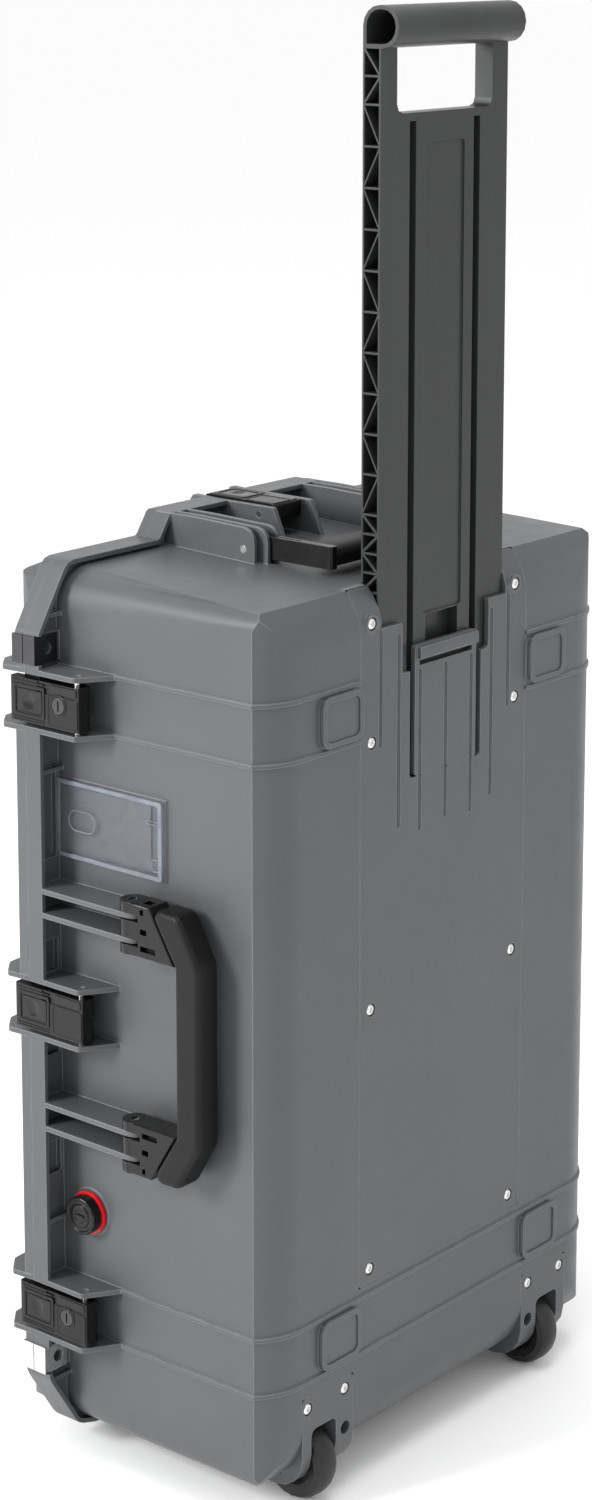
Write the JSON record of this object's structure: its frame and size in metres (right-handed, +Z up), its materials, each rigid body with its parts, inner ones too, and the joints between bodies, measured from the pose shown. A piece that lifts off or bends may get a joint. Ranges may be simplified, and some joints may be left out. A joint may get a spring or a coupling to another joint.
{
  "type": "hard equipment case",
  "caption": "Wheeled hard equipment case with a hinged lid, latches, carrying handles and a pull-up trolley handle, standing upright with the trolley handle raised.",
  "frame": {"origin": "bottom centre of the bounding box, on the floor the case stands on", "axes": "+Z up; +X towards the side with the latches and the side handle; +Y towards the back panel and the trolley handle, so the lid is at -Y"},
  "size_m": [0.4906, 0.2802, 1.134],
  "materials": {
    "case_resin": "moulded, fine texture",
    "black_plastic": "moulded, fine texture",
    "button_plastic": "moulded",
    "grip_rubber": "matte overmoulded",
    "seal_rubber": "matte",
    "tyre_rubber": "matte",
    "hub_plastic": "moulded",
    "bright_steel": "satin",
    "dark_steel": "dark satin",
    "red_plastic": "moulded",
    "clear_plastic": "clear gloss"
  },
  "bodies": {
    "base": {"base_shell": "case_resin", "hinge_pin_upper": "bright_steel", "hinge_pin_lower": "bright_steel", "back_panel": "case_resin", "panel_screw_1": "bright_steel", "panel_screw_2": "bright_steel", "panel_screw_3": "bright_steel", "panel_screw_4": "bright_steel", "panel_screw_5": "bright_steel", "panel_screw_6": "bright_steel", "panel_screw_7": "bright_steel", "panel_screw_8": "bright_steel", "bracket_screw_latch_side_1": "bright_steel", "bracket_screw_latch_side_2": "bright_steel", "bracket_screw_hinge_side_1": "bright_steel", "bracket_screw_hinge_side_2": "bright_steel", "wheel_bracket_latch_side": "case_resin", "wheel_bracket_hinge_side": "case_resin", "axle_latch_side": "bright_steel", "axle_hinge_side": "bright_steel", "front_handle_pin_upper": "bright_steel", "front_handle_pin_lower": "bright_steel", "top_handle_pin_latch_side": "bright_steel", "top_handle_pin_hinge_side": "bright_steel", "upper_latch_pin": "bright_steel", "centre_latch_pin": "bright_steel", "lower_latch_pin": "bright_steel", "top_latch_pin": "bright_steel", "padlock_plate_base_upper": "dark_steel", "padlock_plate_base_lower": "bright_steel", "valve_body": "black_plastic", "valve_ring": "red_plastic", "valve_nut": "black_plastic", "card_holder": "clear_plastic", "card_cover": "clear_plastic"},
    "lid": {"lid_shell": "case_resin", "lid_seal": "seal_rubber", "padlock_plate_lid_upper": "dark_steel", "padlock_plate_lid_lower": "bright_steel"},
    "trolley": {"trolley_handle": "black_plastic"},
    "tongue": {"release_tongue": "case_resin"},
    "valve_knob": {"valve_cap": "black_plastic"},
    "front_handle": {"front_handle_frame": "black_plastic", "front_handle_grip": "grip_rubber"},
    "top_handle": {"top_handle_frame": "black_plastic", "top_handle_grip": "grip_rubber"},
    "wheel_latch_side": {"tyre_latch_side": "tyre_rubber", "wheel_hub_latch_side": "hub_plastic"},
    "wheel_hinge_side": {"tyre_hinge_side": "tyre_rubber", "wheel_hub_hinge_side": "hub_plastic"},
    "upper_latch": {"upper_latch_lever": "black_plastic"},
    "upper_latch_push": {"upper_latch_button": "button_plastic"},
    "upper_latch_key": {"upper_latch_key_cylinder": "dark_steel"},
    "centre_latch": {"centre_latch_lever": "black_plastic"},
    "centre_latch_push": {"centre_latch_button": "button_plastic"},
    "lower_latch": {"lower_latch_lever": "black_plastic"},
    "lower_latch_push": {"lower_latch_button": "button_plastic"},
    "lower_latch_key": {"lower_latch_key_cylinder": "dark_steel"},
    "top_latch": {"top_latch_lever": "black_plastic"},
    "top_latch_push": {"top_latch_button": "button_plastic"}
  },
  "joints": [
    {"name": "lid_hinge", "type": "hinge", "parent": "base", "child": "lid", "pos_m": [-0.23925, -0.08785, 0.37], "axis": [0, 0, -1], "range_deg": [0, 100]},
    {"name": "trolley_slide", "type": "slide", "parent": "base", "child": "trolley", "axis": [0, 0, 1], "range_m": [-0.427, 0]},
    {"name": "tongue_flex", "type": "hinge", "parent": "base", "child": "tongue", "pos_m": [0.00525, 0.12655, 0.5524], "axis": [-1, 0, 0], "range_deg": [0, 6], "stiffness_Nm_per_rad": 0.6},
    {"name": "valve_turn", "type": "hinge", "parent": "base", "child": "valve_knob", "pos_m": [0.22525, -0.05135, 0.2085], "axis": [1, 0, 0], "range_deg": [0, 180]},
    {"name": "front_handle_swing", "type": "hinge", "parent": "base", "child": "front_handle", "pos_m": [0.23425, 0.01465, 0.374], "axis": [0, 0, -1], "range_deg": [0, 90]},
    {"name": "top_handle_swing", "type": "hinge", "parent": "base", "child": "top_handle", "pos_m": [0.00525, 0.00265, 0.7205], "axis": [1, 0, 0], "range_deg": [0, 90]},
    {"name": "wheel_spin_latch_side", "type": "hinge", "parent": "base", "child": "wheel_latch_side", "pos_m": [0.15025, 0.10465, 0.031], "axis": [1, 0, 0], "continuous": true},
    {"name": "wheel_spin_hinge_side", "type": "hinge", "parent": "base", "child": "wheel_hinge_side", "pos_m": [-0.13975, 0.10465, 0.031], "axis": [1, 0, 0], "continuous": true},
    {"name": "upper_latch_swing", "type": "hinge", "parent": "base", "child": "upper_latch", "pos_m": [0.23625, -0.03935, 0.6165], "axis": [0, 0, 1], "range_deg": [0, 80]},
    {"name": "upper_latch_press", "type": "slide", "parent": "upper_latch", "child": "upper_latch_push", "axis": [-1, 0, 0], "range_m": [0, 0.002], "stiffness_N_per_m": 600},
    {"name": "upper_latch_key_turn", "type": "hinge", "parent": "upper_latch", "child": "upper_latch_key", "pos_m": [0.24325, -0.05135, 0.6175], "axis": [1, 0, 0], "range_deg": [0, 90]},
    {"name": "centre_latch_swing", "type": "hinge", "parent": "base", "child": "centre_latch", "pos_m": [0.23625, -0.03935, 0.374], "axis": [0, 0, 1], "range_deg": [0, 80]},
    {"name": "centre_latch_press", "type": "slide", "parent": "centre_latch", "child": "centre_latch_push", "axis": [-1, 0, 0], "range_m": [0, 0.002], "stiffness_N_per_m": 600},
    {"name": "lower_latch_swing", "type": "hinge", "parent": "base", "child": "lower_latch", "pos_m": [0.23625, -0.03935, 0.1295], "axis": [0, 0, 1], "range_deg": [0, 80]},
    {"name": "lower_latch_press", "type": "slide", "parent": "lower_latch", "child": "lower_latch_push", "axis": [-1, 0, 0], "range_m": [0, 0.002], "stiffness_N_per_m": 600},
    {"name": "lower_latch_key_turn", "type": "hinge", "parent": "lower_latch", "child": "lower_latch_key", "pos_m": [0.24325, -0.05135, 0.1305], "axis": [1, 0, 0], "range_deg": [0, 90]},
    {"name": "top_latch_swing", "type": "hinge", "parent": "base", "child": "top_latch", "pos_m": [0.00525, -0.03935, 0.732], "axis": [-1, 0, 0], "range_deg": [0, 80]},
    {"name": "top_latch_press", "type": "slide", "parent": "top_latch", "child": "top_latch_push", "axis": [0, 0, -1], "range_m": [0, 0.002], "stiffness_N_per_m": 600}
  ]
}
